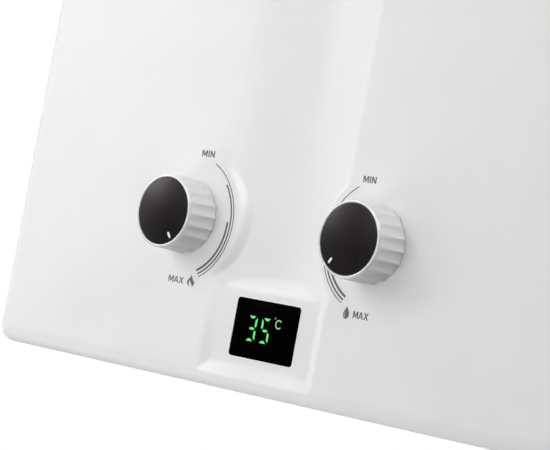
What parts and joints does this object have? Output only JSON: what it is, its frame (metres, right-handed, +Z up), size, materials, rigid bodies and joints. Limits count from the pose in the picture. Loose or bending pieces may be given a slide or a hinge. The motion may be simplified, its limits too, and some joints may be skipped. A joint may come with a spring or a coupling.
{
  "type": "tankless gas water heater",
  "caption": "Wall-hung tankless gas water heater: white sheet casing with a central trough, fluted knobs, a digital display, recessed pipe connections below and a flue collar on top.",
  "frame": {"origin": "centre of the four wall holes, on the wall face of the back plate", "axes": "+Z up, +Y into the wall, +X to the right as seen from the front"},
  "size_m": [0.3336, 0.1973, 0.591],
  "materials": {
    "white_paint": "satin gloss baked enamel",
    "galvanised_steel": "galvanised sheet",
    "steel": "bright",
    "burner_steel": "aluminised sheet",
    "lens_black": "polished",
    "black_plastic": "fine grain",
    "board_green": "solder mask",
    "knob_silver": "satin silver with a bright rim",
    "knob_black": "gloss",
    "pointer_white": "gloss",
    "brass": "machined",
    "cast_aluminium": "die cast",
    "copper": "copper, plain",
    "rubber": "moulded",
    "ceramic": "glazed ceramic",
    "pale_plastic": "fine grain",
    "switch_red": "gloss"
  },
  "bodies": {
    "casing": {"front_cover": "white_paint", "back_plate": "galvanised_steel", "cover_screws": "steel", "pipe_shelf": "galvanised_steel", "display_lens": "lens_black", "display_carrier": "black_plastic", "display_board": "board_green", "digit_module": "black_plastic", "gland_nuts": "brass", "gas_inlet": "brass", "cold_inlet": "brass", "hot_outlet": "brass", "lock_nuts": "brass", "union_nuts": "brass", "gas_valve_body": "cast_aluminium", "gas_solenoid": "black_plastic", "poppet_spring": "steel", "gas_riser": "copper", "gas_manifold": "cast_aluminium", "gas_nozzles": "brass", "burner_frame": "galvanised_steel", "burner_bars": "burner_steel", "electrode_insulators": "ceramic", "electrode_rods": "steel", "water_valve_body": "brass", "diaphragm": "rubber", "diaphragm_cover": "black_plastic", "valve_screws": "steel", "drain_plug": "pale_plastic", "micro_switch": "black_plastic", "cold_pipe": "copper", "exchanger_tube": "copper", "exchanger_fins": "copper", "combustion_chamber": "copper", "hot_pipe": "copper", "outlet_sensor": "pale_plastic", "draft_hood": "galvanised_steel", "flue_collar": "galvanised_steel", "flue_thermostat": "black_plastic", "control_box": "pale_plastic", "battery_box": "black_plastic", "battery_contacts": "steel"},
    "gas_knob": {"gas_knob_body": "knob_silver", "gas_knob_cap": "knob_black", "gas_knob_pointer": "pointer_white", "gas_spindle": "steel"},
    "water_knob": {"water_knob_body": "knob_silver", "water_knob_cap": "knob_black", "water_knob_pointer": "pointer_white", "water_spindle": "steel"},
    "push_rod": {"push_rod": "steel", "gas_poppet": "rubber"},
    "switch_plunger": {"switch_plunger": "switch_red"},
    "battery_lid": {"battery_lid": "black_plastic"}
  },
  "joints": [
    {"name": "gas_knob_turn", "type": "hinge", "parent": "casing", "child": "gas_knob", "pos_m": [-0.05275, -0.18, -0.205], "axis": [0, -1, 0], "range_deg": [-7, 124]},
    {"name": "water_knob_turn", "type": "hinge", "parent": "casing", "child": "water_knob", "pos_m": [0.05275, -0.18, -0.205], "axis": [0, -1, 0], "range_deg": [-113, 12]},
    {"name": "push_rod_slide", "type": "slide", "parent": "casing", "child": "push_rod", "axis": [-1, 0, 0], "range_m": [0, 0.003], "stiffness_N_per_m": 800, "springref_m": -0.004, "deforming": ["poppet_spring", "diaphragm"]},
    {"name": "switch_plunger_slide", "type": "slide", "parent": "casing", "child": "switch_plunger", "axis": [-1, 0, 0], "range_m": [0, 0.003]},
    {"name": "battery_lid_hinge", "type": "hinge", "parent": "casing", "child": "battery_lid", "pos_m": [0.1449, -0.0776, -0.271], "axis": [0, -1, 0], "range_deg": [0, 100]}
  ],
  "couplings": [
    {"joint": "switch_plunger_slide", "follows": "push_rod_slide", "ratio": 1}
  ]
}
